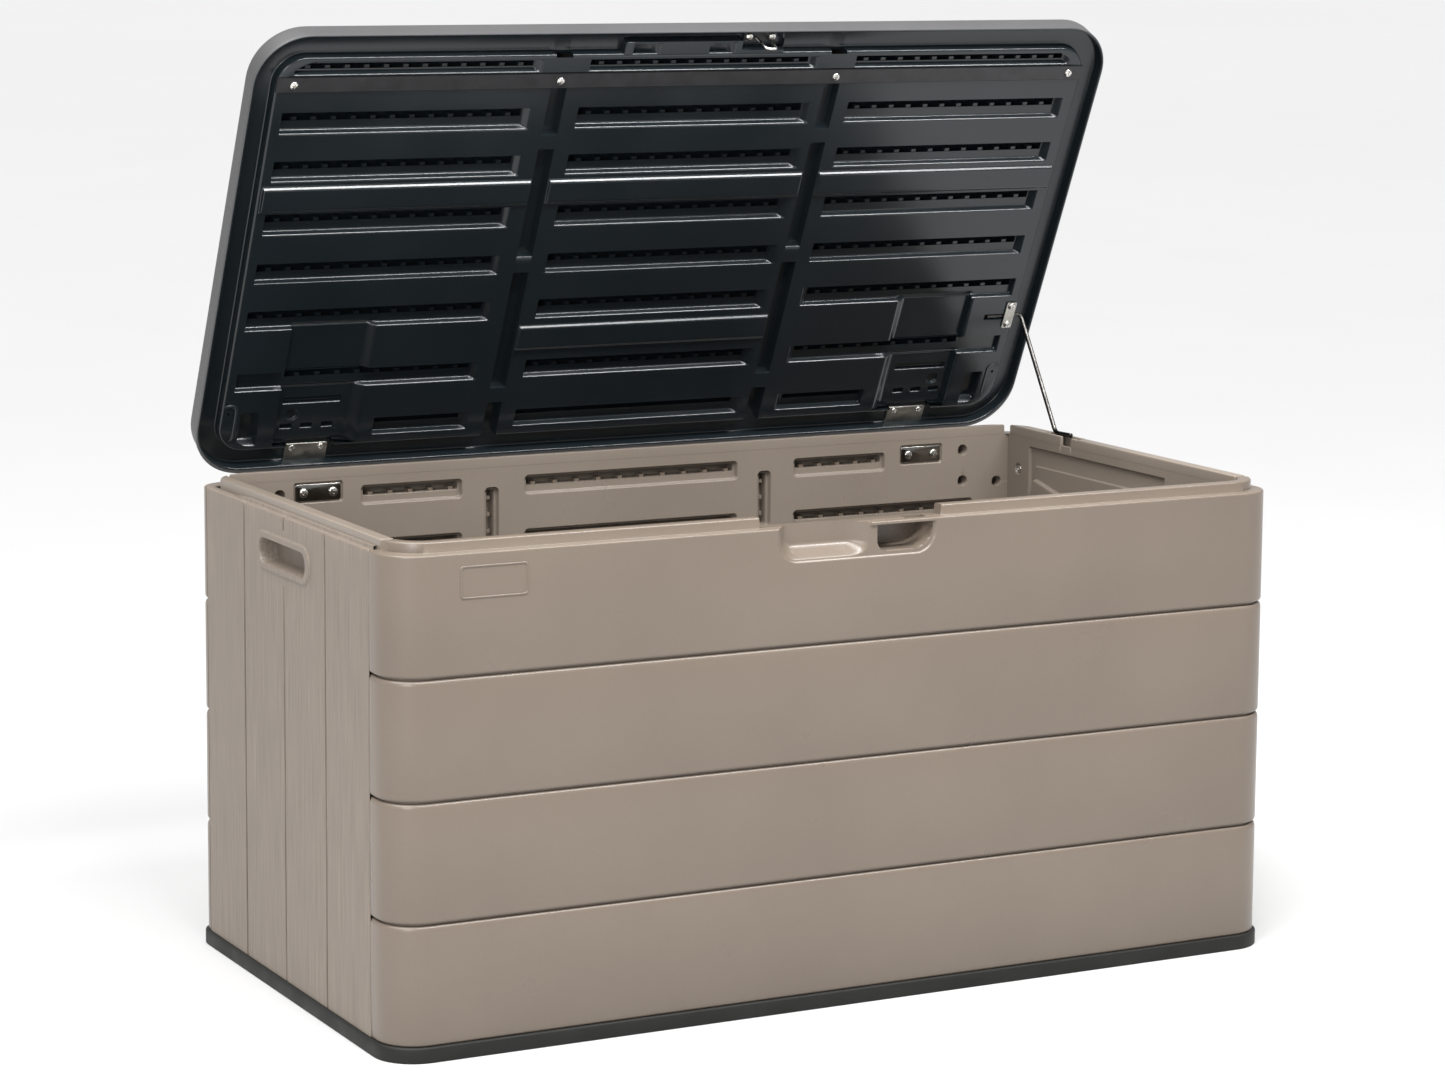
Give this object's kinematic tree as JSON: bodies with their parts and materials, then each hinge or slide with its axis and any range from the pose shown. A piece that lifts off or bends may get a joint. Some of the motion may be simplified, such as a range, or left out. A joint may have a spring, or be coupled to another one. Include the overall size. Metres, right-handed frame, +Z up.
{
  "type": "deck storage box",
  "caption": "Large outdoor storage box with plank-moulded walls, a ribbed hinged lid and a steel stay rod.",
  "frame": {"origin": "centre of the underside of the base tray, on the floor", "axes": "+X to the right across the front, +Y from the front to the back, +Z up"},
  "size_m": [1.218, 0.6871, 1.1665],
  "materials": {
    "taupe_plastic": "satin moulded",
    "base_black": "satin moulded",
    "lid_plastic": "gloss inside, pebbled outside",
    "black_steel": "black coated",
    "bright_steel": "bright plated",
    "zinc_steel": "zinc plated"
  },
  "bodies": {
    "box": {"base_tray": "base_black", "front_panel": "taupe_plastic", "back_panel": "taupe_plastic", "left_side_panel": "taupe_plastic", "right_side_panel": "taupe_plastic", "left_corner_screw_1": "bright_steel", "left_corner_screw_2": "bright_steel", "left_corner_screw_3": "bright_steel", "left_corner_screw_4": "bright_steel", "left_hinge_backing_plate": "bright_steel", "left_hinge_body_leaf": "zinc_steel", "left_hinge_bolt_1": "bright_steel", "left_hinge_bolt_2": "bright_steel", "left_hinge_pin": "zinc_steel", "right_corner_screw_1": "bright_steel", "right_corner_screw_2": "bright_steel", "right_corner_screw_3": "bright_steel", "right_corner_screw_4": "bright_steel", "right_hinge_backing_plate": "bright_steel", "right_hinge_body_leaf": "zinc_steel", "right_hinge_bolt_1": "bright_steel", "right_hinge_bolt_2": "bright_steel", "right_hinge_pin": "zinc_steel"},
    "lid": {"lid_panel": "lid_plastic", "lid_stiffener_bar": "black_steel", "bar_screw_1": "bright_steel", "bar_screw_2": "bright_steel", "bar_screw_3": "bright_steel", "bar_screw_4": "bright_steel", "bracket_screw_1": "bright_steel", "bracket_screw_2": "bright_steel", "hasp_loop": "bright_steel", "hasp_plate": "black_steel", "hasp_screw_1": "bright_steel", "hasp_screw_2": "bright_steel", "left_hinge_lid_leaf": "zinc_steel", "left_leaf_screw_1": "bright_steel", "left_leaf_screw_2": "bright_steel", "right_hinge_lid_leaf": "zinc_steel", "right_leaf_screw_1": "bright_steel", "right_leaf_screw_2": "bright_steel", "stay_bracket": "zinc_steel"},
    "stay_rod": {"stay_rod": "bright_steel"}
  },
  "joints": [
    {"name": "lid_hinge", "type": "hinge", "parent": "box", "child": "lid", "pos_m": [0, 0.328, 0.563], "axis": [1, 0, 0], "range_deg": [0, 65]},
    {"name": "stay_pivot", "type": "hinge", "parent": "lid", "child": "stay_rod", "pos_m": [0.586, 0.27447, 0.7554], "axis": [1, 0, 0], "range_deg": [-36, 0]}
  ],
  "couplings": [
    {"joint": "stay_pivot", "follows": "lid_hinge", "ratio": -0.55}
  ]
}
